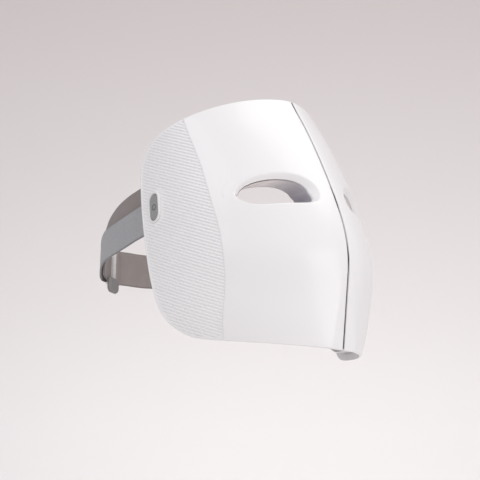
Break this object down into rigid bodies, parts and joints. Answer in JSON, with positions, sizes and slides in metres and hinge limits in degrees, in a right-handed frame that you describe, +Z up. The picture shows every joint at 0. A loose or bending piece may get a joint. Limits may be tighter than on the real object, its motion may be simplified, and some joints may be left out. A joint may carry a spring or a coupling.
{
  "type": "led face mask",
  "caption": "Rigid light-therapy face mask: two glossy shell halves with a chin facet, ribbed side panels, eye windows, a side power button and a head strap folded through a ring.",
  "frame": {"origin": "the wearer's nose-bridge point behind the middle of the mask, on the mask's mid-plane, which is where the face carries it", "axes": "+Z up, -Y out of the wearer's face (the way the wearer looks), +X towards the wearer's left; the straps run towards +Y"},
  "size_m": [0.1968, 0.3164, 0.2284],
  "materials": {
    "shell": "glossy white moulded skin",
    "panel": "satin white, moulded ribs",
    "gasket": "matte grey",
    "bezel": "satin white",
    "cup": "matte lilac grey",
    "liner": "milky diffuser",
    "frame": "matte pale grey",
    "circuit_board": "solder mask, semi-matte",
    "lamp": "clear resin lamp",
    "chip": "moulded epoxy",
    "cell": "foil pouch",
    "tray": "matte",
    "socket": "bright steel",
    "sensor": "smoked window",
    "button_grey": "soft-touch grey",
    "button_rim": "satin pale grey",
    "button_mark": "printed dark ring",
    "pad": "soft matte silicone",
    "strap": "woven webbing, brown grey",
    "strap_loop_side": "brushed loop face, heathered blue grey",
    "tab": "felted tab",
    "ring": "polished",
    "pin": "plain steel",
    "anchor": "matte"
  },
  "bodies": {
    "mask": {"shell_right": "shell", "shell_left": "shell", "side_panel_right": "panel", "side_panel_left": "panel", "seam_gasket": "gasket", "eye_bezel_right": "bezel", "eye_bezel_left": "bezel", "eye_cup_right": "cup", "eye_cup_left": "cup", "face_liner": "liner", "rim_frame": "frame", "led_board_forehead": "circuit_board", "led_board_cheek_right": "circuit_board", "led_board_cheek_left": "circuit_board", "main_board": "circuit_board", "button_board": "circuit_board", "leds_forehead": "lamp", "leds_cheek_right": "lamp", "leds_cheek_left": "lamp", "board_chips": "chip", "tact_switch": "chip", "buzzer": "chip", "battery": "cell", "battery_tray": "tray", "usb_socket": "socket", "wear_sensor": "sensor", "button_rim": "button_rim", "forehead_pad": "pad", "nose_pad": "pad", "temple_pad_right": "pad", "temple_pad_left": "pad", "anchor_pin_right": "pin", "anchor_pin_left": "pin"},
    "power_button": {"power_button": "button_grey", "button_mark": "button_mark", "button_stem": "button_grey"},
    "strap_loop": {"strap_right": "strap", "strap_left": "strap", "strap_ring": "ring", "strap_tab": "tab", "strap_anchor_right": "anchor", "strap_anchor_left": "anchor"},
    "strap_end": {"strap_tail": "strap_loop_side"}
  },
  "joints": [
    {"name": "button_press", "type": "slide", "parent": "mask", "child": "power_button", "axis": [1, 0, 0], "range_m": [0, 0.0008], "stiffness_N_per_m": 2500},
    {"name": "strap_tilt", "type": "hinge", "parent": "mask", "child": "strap_loop", "pos_m": [0, 0.104, 0.018], "axis": [1, 0, 0], "range_deg": [-15, 15]},
    {"name": "tail_peel", "type": "hinge", "parent": "strap_loop", "child": "strap_end", "pos_m": [-0.03939, 0.26644, -0.0115], "axis": [0, 0, -1], "range_deg": [0, 70]}
  ]
}
